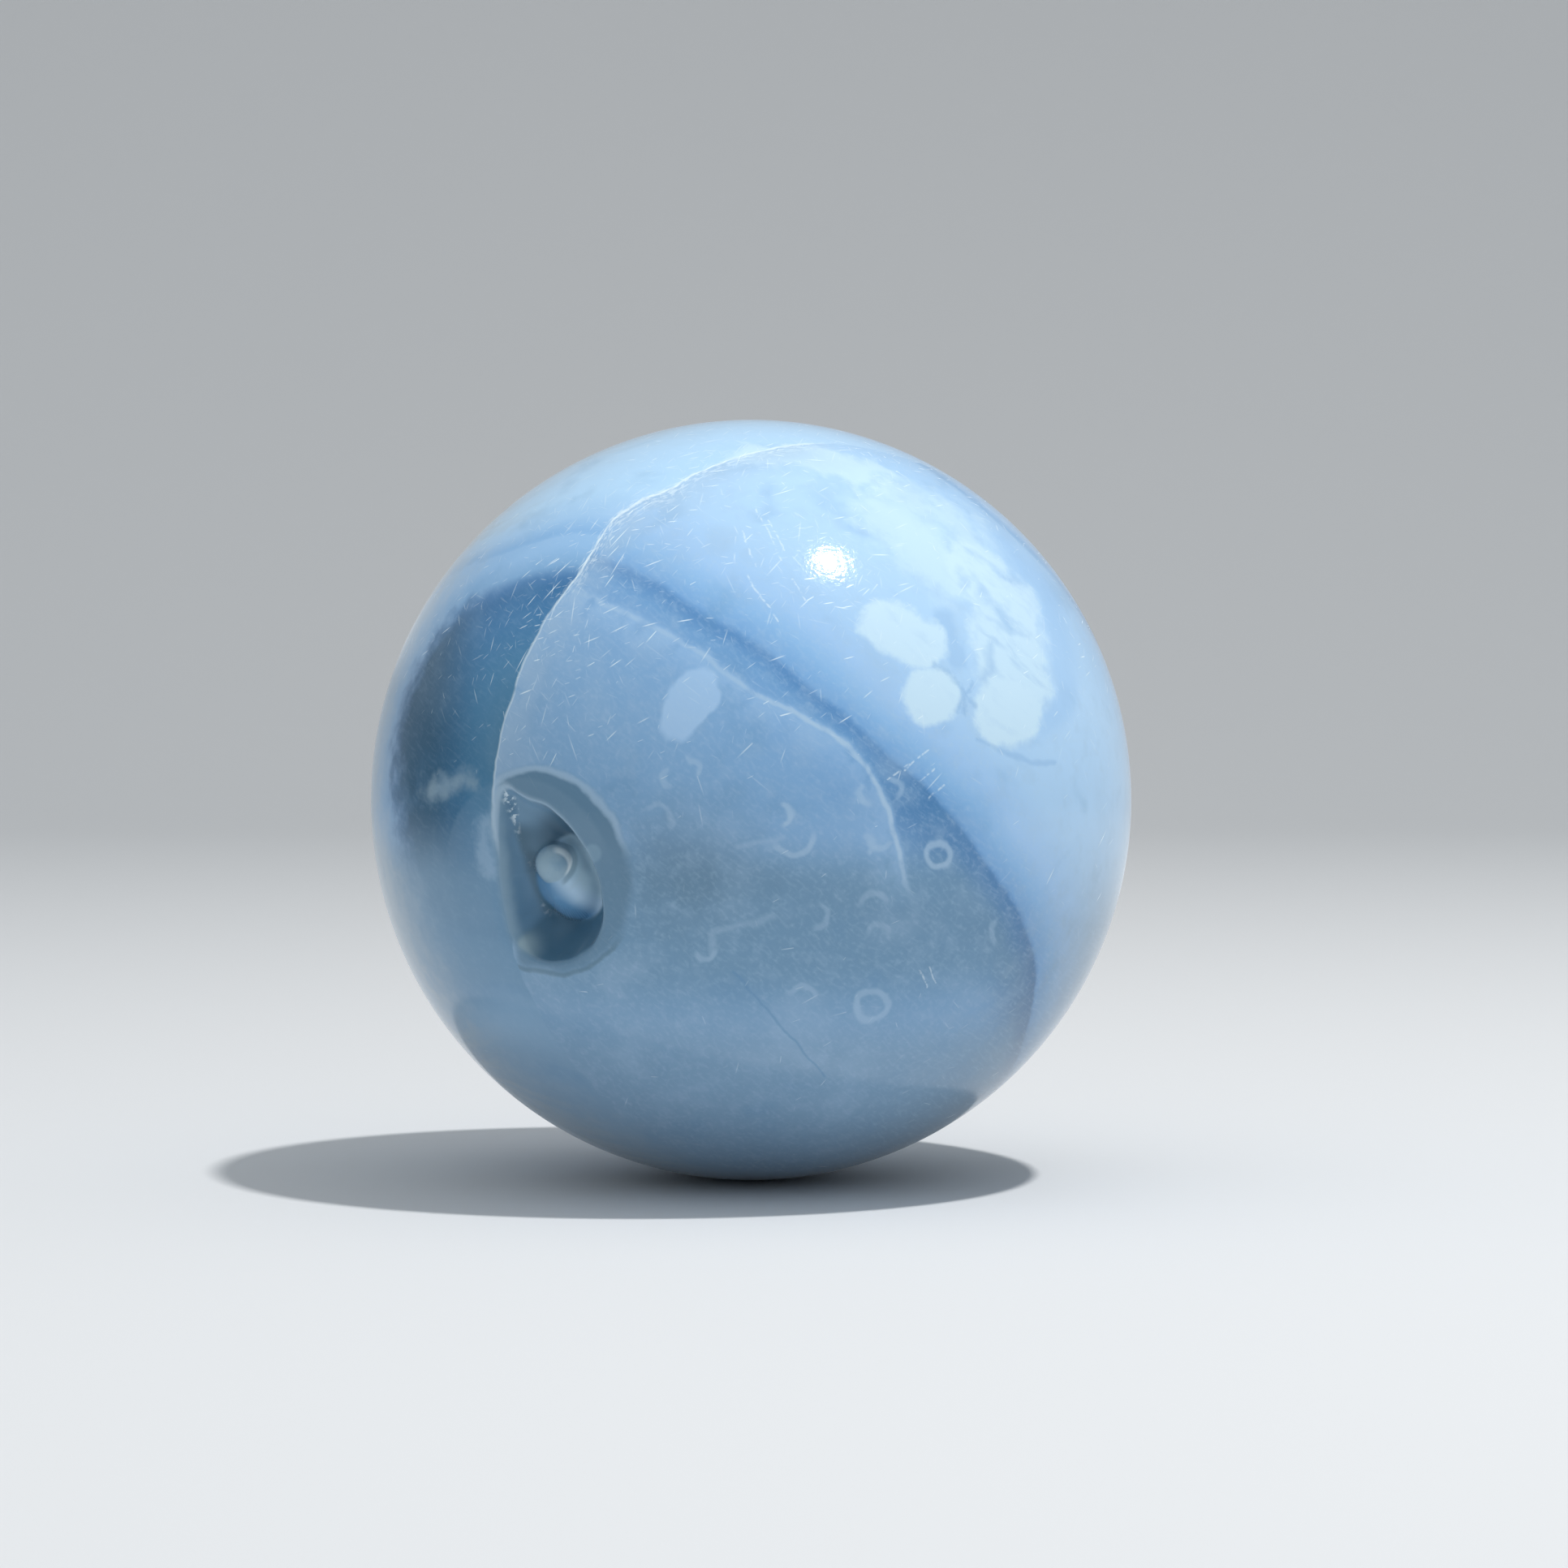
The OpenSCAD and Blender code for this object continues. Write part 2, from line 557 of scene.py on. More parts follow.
def leftBlock():
    band = ramp(ringed, blocks["leftBands"])
    # painted shade: the dark core is darkened to teal towards the far left, the side away from the light
    band = paint(band, blocks["tealShade"], rise(x, -16.0, -20.5) * rise(ringed, 12.6, 11.2) * 0.85)
    band = paint(band, inks["dusk"], rise(z, 0.0, -5.0) * rise(ringed, 22.0, 14.0) * 0.9)
    band = paint(band, inks["low"], rise(z, -11.0, -16.0))
    patch = path(*blocks["patch"]) + (veil - 0.5) * 2.5
    return paint(band, blocks["patchInk"], rise(patch, 1.3, -0.1) * front * 0.65)


# Cloudy stone: a grey heart, haze, and milky or dull zones towards the sides; the milky one is partly
# painted reflection at the left limb

mists = {
    "gloomAt": (-3.6, -3.0),
    "gloom": (0.11, 0.21, 0.30, 1),
    "milkSheen": (0.37, 0.475, 0.56, 1),
    "milkBack": (0.40, 0.56, 0.72, 1),
    "dull": (0.24, 0.34, 0.43, 1),
    "dullLow": (0.16, 0.245, 0.33, 1),
}


def addMists(color):
    gloom = spot(*mists["gloomAt"]) + (mottle - 0.5) * 5.0 + (veil - 0.5) * 3.0
    color = paint(color, mists["gloom"], rise(gloom, 6.5, 0.0) * front * right * 0.42)
    hazy = 0.2 + 0.8 * right
    color = paint(color, inks["haze"], rise(mottle, 0.50, 0.78) * 0.35 * hazy)
    color = paint(color, inks["dark"], rise(mottle, 0.46, 0.25) * 0.25)
    color = paint(color, inks["haze"], rise(veil, 0.50, 0.75) * 0.22 * hazy)
    color = paint(color, inks["line"], rise(grain, 0.48, 0.78) * 0.17 * hazy)
    behind = y + (veil - 0.5) * 5.0
    layers = cloud(join(ringed, mottle * 3.0), 0.9, 2.0)
    # milky zone on the left, paler towards the limb: partly the stone's milkiness, partly painted
    # reflection
    milkAndSheen = rise(behind + rise(z, -1.0, -5.0) * 3.0, -12.0, -2.0) * rise(y, 16.0, 4.0) * rise(x, 0.0, -9.0)
    milkAndSheen = milkAndSheen * (0.45 + 0.55 * rise(z, 20.5, 17.5))
    milkSheen = paint(mists["milkSheen"], mists["milkBack"], rise(y, -3.0, 4.0))
    color = paint(color, milkSheen, milkAndSheen * (0.4 + 0.4 * rise(layers, 0.36, 0.6)))
    dull = paint(mists["dull"], mists["dullLow"], rise(z, -7.0, -14.0))
    duller = rise(behind, -19.0, -6.0) * rise(z, 2.0, -10.0) * rise(x, 2.0, 14.0)
    return paint(color, dull, duller * 0.7)


# Pale bed with its bright line, and an oval patch

beds = {
    "paleBed": (             # place along the layers, and height
        (-25, -5), (-20.3, -5.8), (-17.9, -6.1), (-14.2, -5.9), (-10.6, -6.2), (-6.3, -5.5),
        (-2.2, -5.0), (-0.6, -5.4), (3.1, -6.7), (5.3, -7.6), (9, -9)),
    "bedInk": (0.38, 0.60, 0.86, 1),
    "ovalAt": (-3.8, 6.75),
    "ovalShort": (0.86, -0.51),  # direction of its short axis, then of its long one
    "ovalLong": (0.51, 0.86),
    "ovalHalf": (1.45, 2.5),
    "ovalInk": (0.41, 0.62, 0.87, 1),
}


def addBeds(color):
    bedGap = height - curve(along, beds["paleBed"])
    bedFade = rise(along, 7.0, 4.0) * right * front * rise(veil, 0.2, 0.55)
    glow = rise(bedGap, -2.6, 0.0) * rise(bedGap, 0.5, 0.0) * bedFade
    color = paint(color, beds["bedInk"], glow * 0.45)
    bright = rise(abs(bedGap), 0.26, 0.04) * bedFade * (0.4 + 0.4 * rise(along, -13.0, -4.0))
    color = paint(color, inks["line"], bright)
    lean = flat + ripple * 0.6 - onFront(*beds["ovalAt"])
    wide = lean.dot(onFront(*beds["ovalShort"])) / beds["ovalHalf"][0]
    tall = lean.dot(onFront(*beds["ovalLong"])) / beds["ovalHalf"][1]
    return paint(color, beds["ovalInk"], rise(span(wide, tall), 1.12, 0.88) * front * 0.75)


# Porcelain-white patches at the upper right, with cracks and strands, and flecks on the back

porcelain = {
    "lobes": ((11.0, 7.3, 1.7), (15.8, 6.0, 2.2)),  # place and radius
    "longLobe": ((((8.0, 11.5), (10.4, 10.2)), 1.55),),
    "mass": ((((13.6, 15.2), (15.6, 12.8), (16.4, 9.6)), 1.5), (((15.8, 12.0), (16.4, 8.0)), 2.3)),
    "streaks": ((((8.0, 18.6), (10.5, 16.6), (12.4, 14.6)), 1.5),
                (((9.0, 19.8), (12.6, 18.2), (15.4, 15.4)), 0.9)),
    "cracks": ((((13.0, 14.7), (13.4, 14.1)), 0), (((14.4, 13.4), (15.3, 12.7), (16.3, 11.3)), 0),
               (((14.7, 10.2), (15.0, 8.7), (14.2, 8.2)), 0),
               (((11.8, 11.8), (12.3, 10.6), (12.6, 9.2)), 0.35)),
    "knot": ((((11.1, 9.0), (12.1, 8.5), (13.0, 7.5), (13.7, 6.6)), 0), (((12.5, 6.3), (13.5, 7.9)), 0),
             (((13.0, 7.4), (13.0, 6.2)), 0)),
    "wisp": ((-0.5, 22.2), (4.5, 22.0), (8.5, 20.6)),
    "shoreInk": (0.33, 0.55, 0.83, 1),
    "knotInk": (0.22, 0.41, 0.68, 1),
    "wispInk": (0.64, 0.84, 0.96, 1),
    "combAcross": (0.75, 0.85),  # strands run round the ball's upper right edge
    "combAlong": (0.25, -0.23),
}


def addPorcelain(color):
    lobes = blot(porcelain["longLobe"])
    for px, pz, radius in porcelain["lobes"]:
        lobes = least(lobes, spot(px, pz) - radius)
    mass = blot(porcelain["mass"])
    streaks = blot(porcelain["streaks"])
    ragged = (grain - 0.5) * 0.5 + (veil - 0.5) * 1.8
    combed = join(*[flat.dot(onFront(*porcelain[way])) for way in ("combAcross", "combAlong")])
    strands = cloud(combed, 1.1, 3.0)
    hatch = rise(cloud(combed, 4.0, 2.0), 0.48, 0.74)
    color = paint(color, inks["line"], hatch * front * (0.06 + 0.1 * right))
    feathered = rise(streaks + ragged * 1.3 + (strands - 0.5) * 2.0, 1.0, -0.9)
    color = paint(color, inks["porcelain"], feathered * front * 0.7)
    shore = rise(mass, 0.1, 0.7) * rise(mass, 2.6, 1.2) * rise(x, 14.0, 16.5) * rise(z, 3.0, 6.0)
    color = paint(color, porcelain["shoreInk"], shore * front * 0.55)
    color = paint(color, inks["porcelain"], rise(mass + ragged, 0.5, -0.4) * front * 0.9)
    color = paint(color, inks["vein"], rise(mass, 0.4, -0.6) * rise(strands, 0.46, 0.68) * front * 0.42)
    cracked = blot(porcelain["cracks"]) + (veil - 0.5) * 1.2 + (strands - 0.5) * 0.6
    color = paint(color, inks["vein"], rise(cracked, 0.55, -0.15) * front * 0.5)
    color = paint(color, inks["porcelain"], rise(lobes + ragged * 0.7, 0.34, -0.3) * front)
    color = paint(color, inks["vein"], rise(lobes, 0.1, -0.6) * rise(strands, 0.50, 0.8) * front * 0.2)
    white = rise(least(mass, lobes), 0.2, -0.3) * front
    knot = blot(porcelain["knot"]) + (grain - 0.5) * 0.5
    color = paint(color, porcelain["knotInk"], rise(knot, 0.3, -0.05) * front * 0.42)
    wisp = path(*porcelain["wisp"]) + (mottle - 0.5) * 2.0 + (veil - 0.5) * 1.2 + (strands - 0.5) * 2.0
    color = paint(color, porcelain["wispInk"], rise(wisp, 1.0, 0.1) * front * 0.6)
    flecks = cloud(bent, 0.12, 2.0) + (veil - 0.5) * 0.14
    return paint(color, inks["porcelain"], rise(flecks, 0.57, 0.68) * back * 0.5), white


# Soft curls and hairlines

marks = {
    "curls": (               # centre, radius, side that shows, strength
        ((11.5, -2.7), 0.74, (0, 0), 0.72), ((7.4, -12.1), 0.95, (0, 0), 0.55),
        ((2.7, -1.4), 1.25, (0.2, -1), 0.6), ((2.0, -0.1), 0.65, (1, 0), 0.7),
        ((7.9, -1.7), 0.6, (-0.3, -1), 0.5), ((7.0, -2.0), 0.5, (1, 0.3), 0.45),
        ((3.8, -6.3), 0.8, (1, -0.3), 0.4), ((7.6, -5.6), 0.8, (0, 1), 0.4),
        ((8.0, -7.4), 0.7, (0, 1), 0.35), ((3.2, -11.4), 0.8, (0, 1), 0.45),
        ((15.2, -7.4), 0.6, (-1, 0), 0.4), ((7.0, 1.1), 0.6, (-1, -0.4), 0.5),
        ((8.4, 1.4), 0.6, (1, 0.3), 0.5), ((-2.9, -8.4), 0.6, (0.3, -1), 0.5),
        ((-4.9, 2.3), 0.5, (-1, 0), 0.45), ((-3.6, 2.9), 0.5, (1, 0.5), 0.5),
        ((-5.6, -0.5), 0.9, (0.6, 1), 0.35)),
    "hair": ((-1.2, -9.8), (-0.3, -10.7), (2.0, -13.3), (4.6, -16.5)),
    "lowWisp": ((-2.5, -8.6), (-2.3, -7.2), (0.2, -6.8), (1.2, -6.4)),
    "highWisp": ((-0.8, -1.8), (2.1, -1.5)),
    "vein": ((13.9, 4.5), (15.9, 3.4), (17.4, 2.9), (19.0, 2.8)),
    "veinInk": (0.24, 0.44, 0.72, 1),
}


def addMarks(color):
    curled = flat + ripple * 0.25
    curls = None
    for centre, radius, shows, strength in marks["curls"]:
        off = curled - onFront(*centre)
        ink = rise(abs(off.length() - radius), 0.30, 0.06) * strength
        if any(shows):
            ink = ink * rise(off.dot(onFront(*shows)), -0.2 * radius, 0.5 * radius)
        curls = most(curls, ink) if curls else ink
    color = paint(color, inks["line"], curls * front * 0.8)
    color = paint(color, inks["dark"], rise(path(*marks["hair"]), 0.12, 0.03) * front * 0.45)
    wisps = least(path(*marks["lowWisp"]) + (veil - 0.5) * 0.5, path(*marks["highWisp"]) + 0.03)
    color = paint(color, inks["line"], rise(wisps + (grain - 0.5) * 0.3, 0.34, 0.03) * front * 0.26)
    vein = path(*marks["vein"]) + (veil - 0.5) * 0.3
    return paint(color, marks["veinInk"], rise(vein, 0.26, 0.0) * front * 0.4)


# Seam: a bright line with haze beside it and a scuffed upper length, and a pale blotch by its foot

blotchPath = ((-16.3, -0.9), (-16.4, -2.3), (-15.9, -4.0))


def addSeam(color):
    seamFade = most(rise(z, -12.0, -7.0) * rise(x, 6.0, 2.0), back * 0.6)
    mist = rise(seam, 4.0, 0.0) * right * seamFade * rise(veil, 0.1, 0.55)
    color = paint(color, inks["haze"], mist * 0.62)
    brushed = cloud(join(seam * 5.0, x + z), 1.3, 2.0)
    scuff = rise(seam, 1.3, 0.1) * rise(seam, -0.5, 0.0) * rise(z, 12.0, 16.0) * seamFade
    color = paint(color, inks["needle"], scuff * rise(brushed, 0.45, 0.64) * 0.6)
    bright = rise(abs(seam), blocks["seamHalf"], 0.02) * seamFade * rise(veil, 0.12, 0.5)
    bright = bright * most(rise(z, -5.0, -1.0), back)
    bright = bright * (0.45 + 0.45 * rise(z, 11.0, 15.0) * rise(brushed, 0.3, 0.55))
    color = paint(color, inks["needle"], bright)
    blotch = path(*blotchPath) + (veil - 0.5) * 1.6 + (grain - 0.5) * 0.6
    return paint(color, inks["line"], rise(blotch, 0.9, 0.0) * front * 0.42), scuff


# Needles: short fine strokes, one to a cell, that lie along the surface, and a few long scratches

needles = {
    "layers": (              # cell, reach, width and strength
        (0.75, 0.5, 0.035, 0.6), (1.2, 0.75, 0.05, 1), (2.0, 1.3, 0.06, 1)),
    "scatter": Vector((5.0, 5.0, 0.3)),  # spread of their headings round straight up
    "glareAt": (5.0, 15.3),  # middle of the highlight, where the polish is worn and the needles crowd as painted glints
    "scratches": (
        ((0.4, 18.6), (2.0, 15.3)), ((-0.1, 14.4), (1.6, 11.5)), ((1.2, 17.8), (2.2, 15.9)),
        ((-0.6, 17.2), (0.4, 15.0)), ((2.6, 14.2), (3.3, 12.8)), ((8.2, 2.0), (9.6, 3.0)),
        ((9.3, 2.6), (10.7, 3.9)), ((9.9, 1.6), (11.2, 2.6)), ((10.8, 0.7), (11.8, 1.6)),
        ((10.3, -9.9), (10.8, -10.9)), ((10.9, -9.6), (11.4, -10.6))),
}


def fromGlare():
    return (here - frontPoint(*needles["glareAt"])).length()


def addNeedles(color):
    nearSeam = abs(here.dot(blocks["seamAcross"]) - blocks["seamSet"])
    # the needles crowd by the seam, and as painted glints round the highlight and over the upper half
    dense = rise(nearSeam, 8.0, 1.0) * rise(z, -2.0, 8.0) * 0.55 + rise(fromGlare(), 7.0, 2.0) * 0.6
    dense = dense + rise(nearSeam, 2.2, 0.4) * rise(z, 8.0, 14.0) * 0.5
    dense = 0.05 + dense * front + 0.22 * rise(z, -1.0, 9.0)
    dense = dense * most(right, 0.25 + 0.75 * rise(z, 5.0, 11.0))
    needled = 0.0
    for cell, reach, width, strength in needles["layers"]:
        middle = Wire.node("ShaderNodeTexVoronoi", {}, {"Vector": here, "Scale": 1 / cell}, "Position")
        chance = Wire(middle.socket.node.outputs["Color"])
        choice, long, pick = parts(chance)
        aim = (chance - 0.5) * needles["scatter"] + Vector((0, 0, 1))
        aim = (aim - outward * aim.dot(outward)).unit()
        off = here - middle
        off = off - outward * off.dot(outward)
        run = off.dot(aim)
        gap = (off - aim * run).length()
        ink = rise(gap, width, width * 0.25) * rise(abs(run), reach * (0.35 + 0.65 * long), 0.1)
        ink = ink * rise(pick, 1 - dense, 1.04 - dense) * (0.15 + 0.85 * choice * choice)
        needled = needled + ink * strength
    color = paint(color, inks["needle"], needled * 0.85)
    scratch = least(*[stroke(a, b) for a, b in needles["scratches"]])
    scratched = rise(scratch, 0.09, 0.02) * front * rise(grain, 0.35, 0.6)
    return paint(color, inks["needle"], scratched * 0.5), needled


# Pocket: a flush band round its mouth, and the lining of floor, mound, bead and wall, with light and shade
# painted into the lining

pocket = {
    "middle": (0.64, 0.22),  # of the lining's shading, set off from the pocket's axis
    "bandMiddle": (0.5, 0.5),  # of the band, set off from that
    "band": (0.11, 0.225, 0.335, 1),
    "brink": (0.09, 0.19, 0.26, 1),
    "blobAt": (4.6, 1.8),
    "blob": (0.22, 0.37, 0.50, 1),
    "floorLowShade": (0.065, 0.17, 0.27, 1),
    "floorHigh": (0.085, 0.18, 0.27, 1),
    "paintedLight": (0.18, 0.33, 0.48, 1),
    "litLip": (0.38, 0.53, 0.60, 1),
    "moundFar": (0.33, 0.51, 0.64, 1),
    "moundLit": (0.41, 0.60, 0.78, 1),
    "moundShade": (0.105, 0.275, 0.485, 1),
    "ring": (0.36, 0.52, 0.64, 1),
    "beadShadow": (0.10, 0.20, 0.28, 1),
    "bead": (0.22, 0.37, 0.50, 1),
    "beadPale": (0.29, 0.44, 0.55, 1),
    "crestHighlight": (0.80, 0.92, 0.97, 1),
    "crestHighlightRadius": 0.95,
    "wallHigh": (0.22, 0.36, 0.48, 1),
    "wallLow": (0.118, 0.255, 0.395, 1),
    "ridgeRise": 0.21,       # slope of the wall's broken edge, and its depth
    "ridgeDrop": 2.35,
    "trenchShadow": (0.06, 0.135, 0.20, 1),
    "rim": (0.40, 0.56, 0.70, 1),
}


def addBand(color, east, north, out):
    facing = rise(out, -4.5, -3.5)
    outer = span(east - pocket["bandMiddle"][0], north - pocket["bandMiddle"][1])
    outer = outer + (mottle - 0.5) * 0.9 + (veil - 0.5) * 0.4
    flush = 0.68 + 0.18 * rise(north, -1.0, 3.0)
    color = paint(color, pocket["band"], rise(outer, 6.8, 6.0) * rise(seam, 0.0, 0.6) * facing * flush)
    arc = rise(abs(outer - 6.35), 0.34, 0.05) * right * facing * rise(north + east * 0.3, 3.0, 5.5)
    color = paint(color, inks["line"], arc * 0.6)
    brink = rise(abs(outer - 6.55), 0.26, 0.04) * facing * rise(north, -3.0, -4.5) * right
    color = paint(color, pocket["brink"], brink * 0.55)
    blob = span(east - pocket["blobAt"][0], north - pocket["blobAt"][1])
    return paint(color, pocket["blob"], rise(blob, 0.7, 0.4) * facing * 0.7)


def floorInk(east, north, out):
    # painted shade: the floor is darker towards the lower, deeper side of the hollow
    ink = paint(pocket["floorLowShade"], pocket["floorHigh"], rise(north + (veil - 0.5) * 1.2, -2.4, -0.2))
    # painted light on the pocket's upper wall, just inside the mouth
    paintedLight = rise(north, 2.6, 3.8) * rise(east, 1.8, 0.0) * rise(out, -2.6, -1.6)
    ink = paint(ink, pocket["paintedLight"], paintedLight * 0.9)
    # painted light: a pale band on the lower lip of the mouth
    litLip = rise(north, -3.0, -4.2) * rise(east, -0.2, -1.9) * rise(out, -2.4, -0.8)
    return paint(ink, pocket["litLip"], litLip * 0.8)


def addMound(ink):
    off = here - placed(moundCentre)
    # painted light and shade: the mound is pale on the side facing the light and deep blue on its lower
    # left side
    towardShade = off.dot(vugEast * -0.7 + vugNorth * -0.5)
    moundLightAndShade = paint(pocket["moundFar"], pocket["moundLit"], rise(towardShade, -1.3, -0.4))
    moundLightAndShade = paint(moundLightAndShade, pocket["moundShade"], rise(towardShade, -0.5, 0.7))
    return paint(ink, moundLightAndShade, rise(off.length() - stone["moundRadius"], 0.4, 0.1))


def addBead(ink):
    off = here - placed(beadCentre)
    axes = zip((vugEast, vugNorth, vugOut), stone["beadSquash"])
    gap = join(*[off.dot(axis * squash) for axis, squash in axes]).length() - stone["beadRadius"]
    onRight = off.dot(vugEast * 0.85 + vugNorth * 0.35)
    wave = reckon("SINE", gap * stone["ringPitch"]) * rise(gap, 1.1, 0.1) * rise(onRight, 0.2, 0.8)
    ink = paint(ink, pocket["ring"], clamp(wave) * 0.5)
    # painted shadow: a dark ring just right of the bead
    beadShadow = rise(abs(gap - 0.16), 0.2, 0.05) * rise(onRight, 0.1, 0.6)
    ink = paint(ink, pocket["beadShadow"], beadShadow * 0.5)
    beadInk = paint(pocket["bead"], pocket["beadPale"], rise(veil, 0.35, 0.6))
    ring = (off * Vector((1, 0, 1))).length()
    # painted highlight: a pale arc along the bead's upper right edge
    crestHighlight = rise(abs(ring - pocket["crestHighlightRadius"]), 0.28, 0.08) * rise(off.dot(onFront(0.9, 0.4)), 0.1, 0.6)
    beadInk = paint(beadInk, pocket["crestHighlight"], crestHighlight * 0.8)
    return paint(ink, beadInk, rise(gap, 0.08, 0.0))


def addWall(ink, eastAxis, north, out):
    wall = (eastAxis + stone["faultSet"]) * math.cos(faultLean) + out * math.sin(faultLean)
    wallInk = paint(pocket["wallHigh"], pocket["wallLow"], rise(out + (veil - 0.5) * 0.8, -0.3, -1.4))
    ink = paint(ink, wallInk, rise(wall, 0.3, 0.05))
    ridge = out - north * pocket["ridgeRise"] + pocket["ridgeDrop"]
    # painted shadow: a dark line along the wall's broken edge
    trenchShadow = rise(ridge, 0.7, 0.1) * rise(wall, 0.9, 0.3) * rise(north, -3.0, -2.2) * rise(north, 3.6, 2.4)
    ink = paint(ink, pocket["trenchShadow"], trenchShadow * 0.6)
    # painted glints: white specks along the broken edge where the crystals stand
    paintedGlints = rise(abs(wall), 0.35, 0.1) * rise(abs(ridge), 0.5, 0.1) * rise(grain, 0.5, 0.62)
    return paint(ink, inks["needle"], paintedGlints * 0.8)


def addPocket(color):
    eastAxis = here.dot(vugEast)
    northAxis = here.dot(vugNorth)
    east = eastAxis - pocket["middle"][0]
    north = northAxis - pocket["middle"][1]
    out = here.dot(vugOut) - ballRadius
    color = addBand(color, east, north, out)
    fromAxis = span(eastAxis, northAxis)
    below = ballRadius - here.length()
    sunk = rise(below, 0.065, 0.395) * rise(fromAxis, 6.8, 6.3)
    lining = addBead(addMound(floorInk(east, north, out)))
    color = paint(color, addWall(lining, eastAxis, north, out), sunk)
    rim = rise(abs(below - 0.155), 0.2, 0.02) * rise(fromAxis, 6.8, 6.4) * rise(north, 0.8, 3.4)
    return paint(color, pocket["rim"], rim * 0.7), sunk


# Polish and relief, and the whole opal put together

finish = {
    "polish": 0.11,          # roughness, and what is added to it
    "roughWhite": 0.08,
    "roughNeedles": 0.2,
    "roughPocket": 0.30,
    "roughScuff": 0.12,
    "frostScale": 2.8,       # worn polish under the highlight
    "frostHeight": 0.6,
    "waveScale": 0.7,
    "waveHeight": 0.05,
    "bumpStrength": 0.35,
    "bumpHeight": 0.0001,    # metres
    "ior": 1.46,
    "sheen": 0.2,
    "sheenRough": 0.4,
    "sheenTint": (0.86, 0.93, 1, 1),
}


def makeOpal():
    color = paint(leftBlock(), rightBlock(), right)
    color = addMists(color)
    color = addBeds(color)
    color, white = addPorcelain(color)
    color = addMarks(color)
    color, scuff = addSeam(color)
    color, needled = addNeedles(color)
    color, sunk = addPocket(color)
    gloss = finish["polish"] + finish["roughWhite"] * white + finish["roughNeedles"] * needled
    gloss = gloss + finish["roughPocket"] * sunk + finish["roughScuff"] * scuff
    frost = cloud(here, finish["frostScale"], 2.0) * rise(fromGlare(), 3.6, 1.0)
    relief = cloud(here, finish["waveScale"], 0.0) * finish["waveHeight"] + frost * finish["frostHeight"]
    bump = Wire.node("ShaderNodeBump", {}, {"Strength": finish["bumpStrength"],
                                            "Distance": finish["bumpHeight"], "Height": relief}, "Normal")
    surface = shader.nodes["Principled BSDF"]
    surface.inputs["IOR"].default_value = finish["ior"]
    surface.inputs["Sheen Weight"].default_value = finish["sheen"]
    surface.inputs["Sheen Roughness"].default_value = finish["sheenRough"]
    surface.inputs["Sheen Tint"].default_value = finish["sheenTint"]
    shader.links.new(color.socket, surface.inputs["Base Color"])
    shader.links.new(gloss.socket, surface.inputs["Roughness"])
    shader.links.new(bump.socket, surface.inputs["Normal"])
    print("opal shader has", len(shader.nodes), "nodes")


# Plain studio: floor with a sweep behind it, one soft key light, even room light

studio = {
    "floorColor": (0.70, 0.71, 0.72, 1),
    "floorRough": 0.9,
    "floorGloss": 0.1,
    "floorHalf": 1.2,        # metres
    "sweepFrom": 0.55,
    "sweepRadius": 0.5,
    "sweepSteps": 24,
    "mergeGap": 0.0001,
    "wallHeight": 1.6,
    "roomColor": (0.93, 0.97, 1.0, 1),
    "roomLow": 0.30,         # level at the horizon and straight above
    "roomHigh": 0.75,
    "keyToward": (0.306, -0.181, 0.935),
    "keyDistance": 0.6,
    "keySize": 0.03,
    "keyPower": 2.6,
}


def makeFloor():
    bm = bmesh.new()
    half, back, low = studio["floorHalf"], studio["sweepFrom"], ballLow.z
    edge = [bm.verts.new((-half, -half, low)), bm.verts.new((half, -half, low))]
    run = bmesh.ops.extrude_edge_only(bm, edges=[bm.edges.new(edge)])["geom"]
    bmesh.ops.translate(bm, verts=ofKind(run, bmesh.types.BMVert), vec=(0, half + back, 0))
    swept = bmesh.ops.spin(bm, geom=ofKind(run, bmesh.types.BMEdge), axis=(1, 0, 0), angle=math.pi / 2,
                           cent=(0, back, low + studio["sweepRadius"]), steps=studio["sweepSteps"])
    line = ofKind(swept["geom_last"], bmesh.types.BMEdge)
    run = bmesh.ops.extrude_edge_only(bm, edges=line)["geom"]
    bmesh.ops.translate(bm, verts=ofKind(run, bmesh.types.BMVert), vec=(0, 0, studio["wallHeight"]))
    bmesh.ops.remove_doubles(bm, verts=bm.verts, dist=studio["mergeGap"])
    bmesh.ops.recalc_face_normals(bm, faces=bm.faces)
    for face in bm.faces:
        face.smooth = True
    mesh = bpy.data.meshes.new("studio_floor")
    bm.to_mesh(mesh)
    bm.free()
    floor = bpy.data.objects.new("studio_floor", mesh)
    bpy.context.scene.collection.objects.link(floor)
    paper = bpy.data.materials.new("floorPaper")
    paper.use_nodes = True
    coat = paper.node_tree.nodes["Principled BSDF"]
    coat.inputs["Base Color"].default_value = studio["floorColor"]
    coat.inputs["Roughness"].default_value = studio["floorRough"]
    coat.inputs["Specular IOR Level"].default_value = studio["floorGloss"]
    mesh.materials.append(paper)
    print("floor laid")


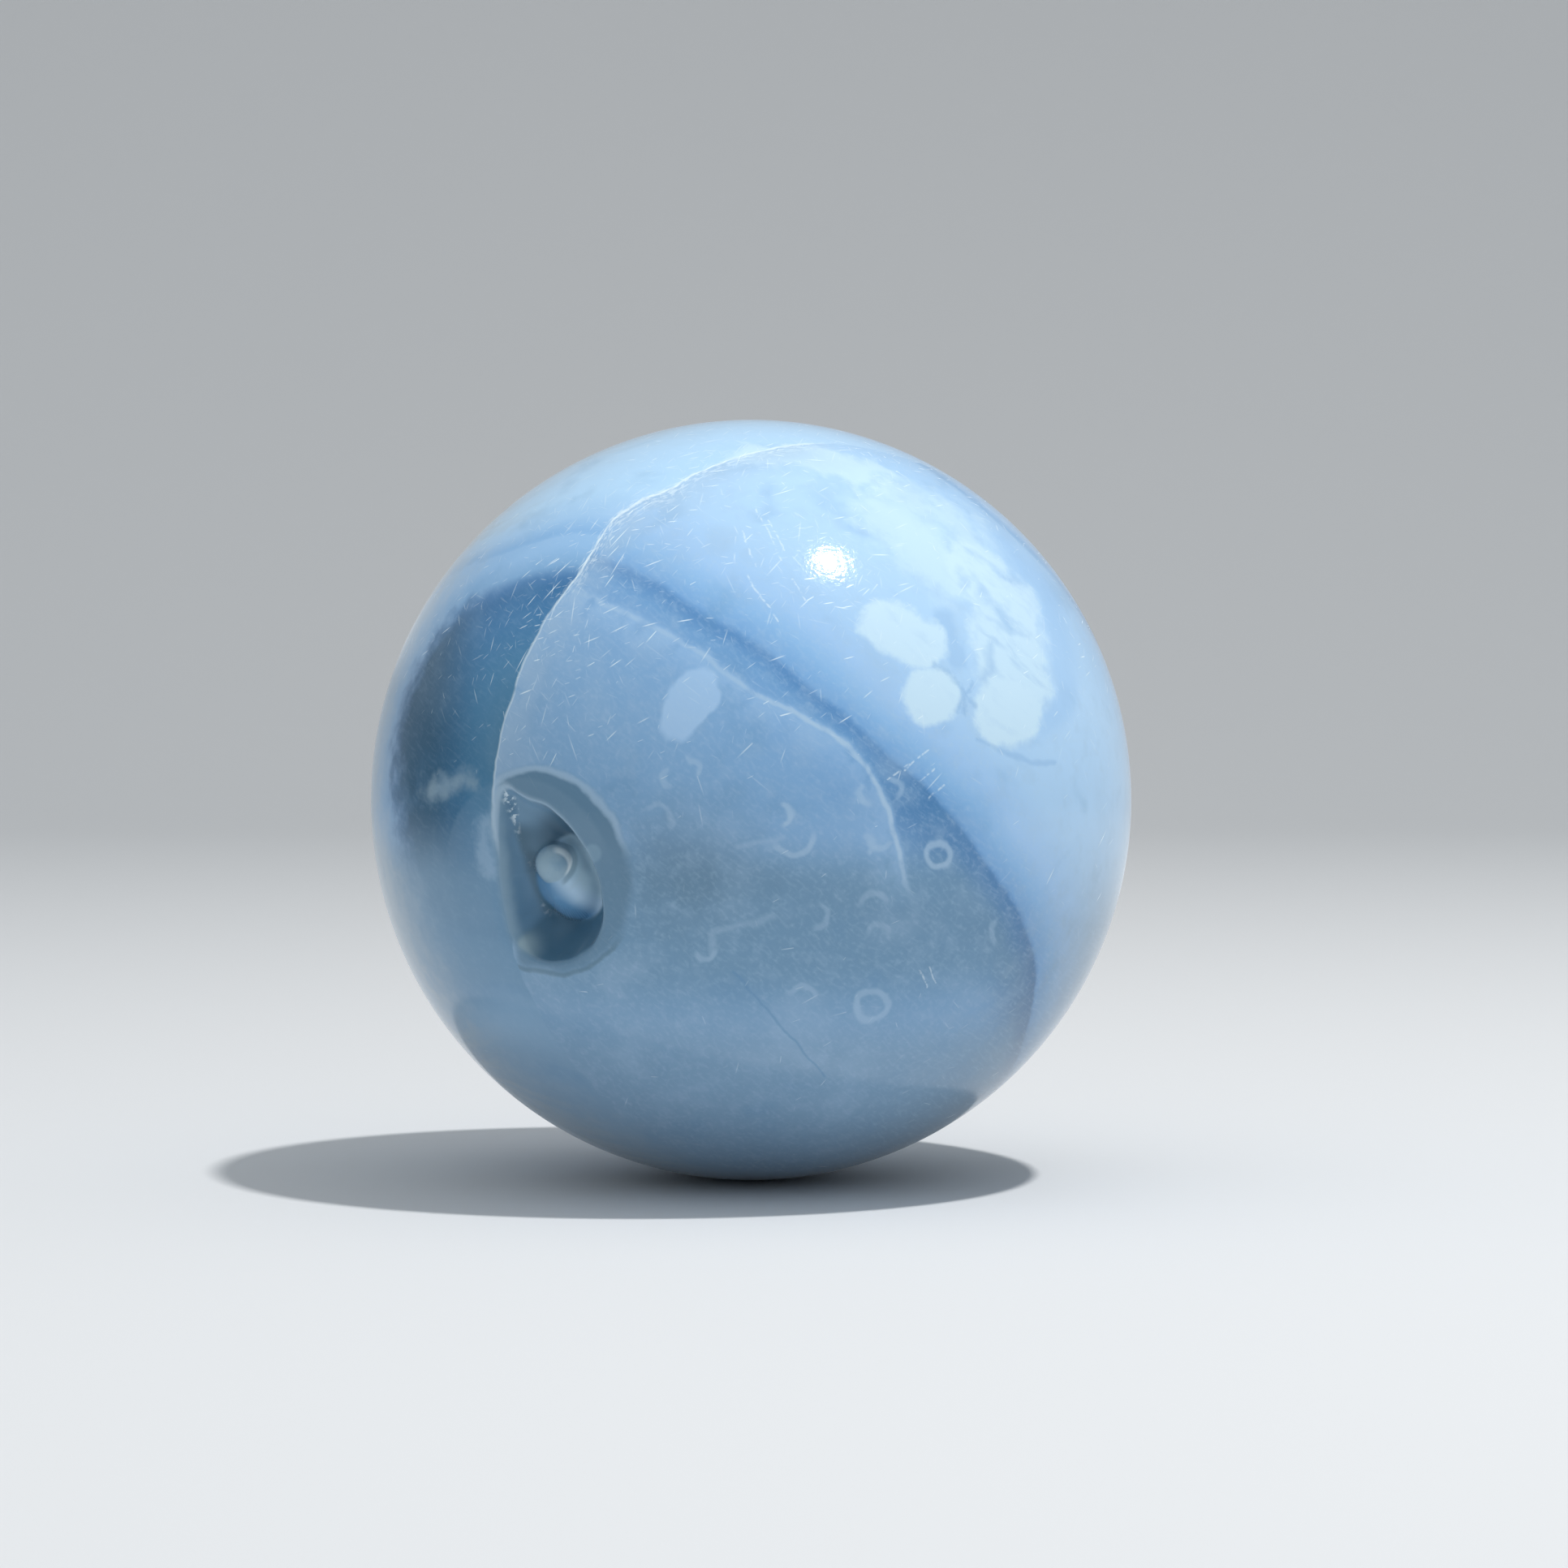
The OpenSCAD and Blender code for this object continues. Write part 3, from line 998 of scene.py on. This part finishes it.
def makeLights():
    world = bpy.data.worlds.new("studioRoom")
    world.use_nodes = True
    tree = world.node_tree
    room = tree.nodes["Background"]
    room.inputs["Color"].default_value = studio["roomColor"]
    coords = tree.nodes.new("ShaderNodeTexCoord")
    split = tree.nodes.new("ShaderNodeSeparateXYZ")
    level = tree.nodes.new("ShaderNodeMapRange")
    level.inputs["To Min"].default_value = studio["roomLow"]
    level.inputs["To Max"].default_value = studio["roomHigh"]
    tree.links.new(coords.outputs["Generated"], split.inputs[0])
    tree.links.new(split.outputs["Z"], level.inputs["Value"])
    tree.links.new(level.outputs["Result"], room.inputs["Strength"])
    bpy.context.scene.world = world
    lamp = bpy.data.lights.new("keyLight", "AREA")
    lamp.shape = "DISK"
    lamp.size = studio["keySize"]
    lamp.energy = studio["keyPower"]
    key = bpy.data.objects.new("keyLight", lamp)
    toward = Vector(studio["keyToward"])
    key.location = toward * studio["keyDistance"]
    key.rotation_euler = toward.to_track_quat("Z", "Y").to_euler()
    bpy.context.scene.collection.objects.link(key)
    print("lights set")


camera = {
    "distance": 300.0,
    "height": 2.0,           # degrees above level
    "frame": 1932,           # photograph's width in pixels
    "ballAt": (925.7, 985.5),
    "ballPixels": 468.5,     # the ball's outline radius
    "sensor": 36.0,
    "nearClip": 0.01,        # metres
}


def makeCamera():
    focal = camera["ballPixels"] * math.sqrt((camera["distance"] / ballRadius) ** 2 - 1)
    eye = direction(0, camera["height"]) * camera["distance"] * mm
    half = camera["frame"] / 2
    across = (half - camera["ballAt"][0]) / focal
    up = (camera["ballAt"][1] - half) / focal
    data = bpy.data.cameras.new("photoCamera")
    data.sensor_width = camera["sensor"]
    data.lens = focal * camera["sensor"] / camera["frame"]
    data.clip_start = camera["nearClip"]
    view = bpy.data.objects.new("photoCamera", data)
    bpy.context.scene.collection.objects.link(view)
    view.location = eye
    aim = (-eye).to_track_quat("-Z", "Y").to_matrix()
    look = aim @ Vector((across, up, -1))
    view.rotation_euler = look.to_track_quat("-Z", "Y").to_euler()
    bpy.context.scene.camera = view
    print("camera set, lens", round(data.lens, 1), "mm")


makeCamera()
makeFloor()
makeLights()
ball = makeStone()
makeOpal()
ball.data.materials.append(material)
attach(ball, "root")
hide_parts("opal_sphere")

bpy.context.scene.view_settings.view_transform = "Standard"
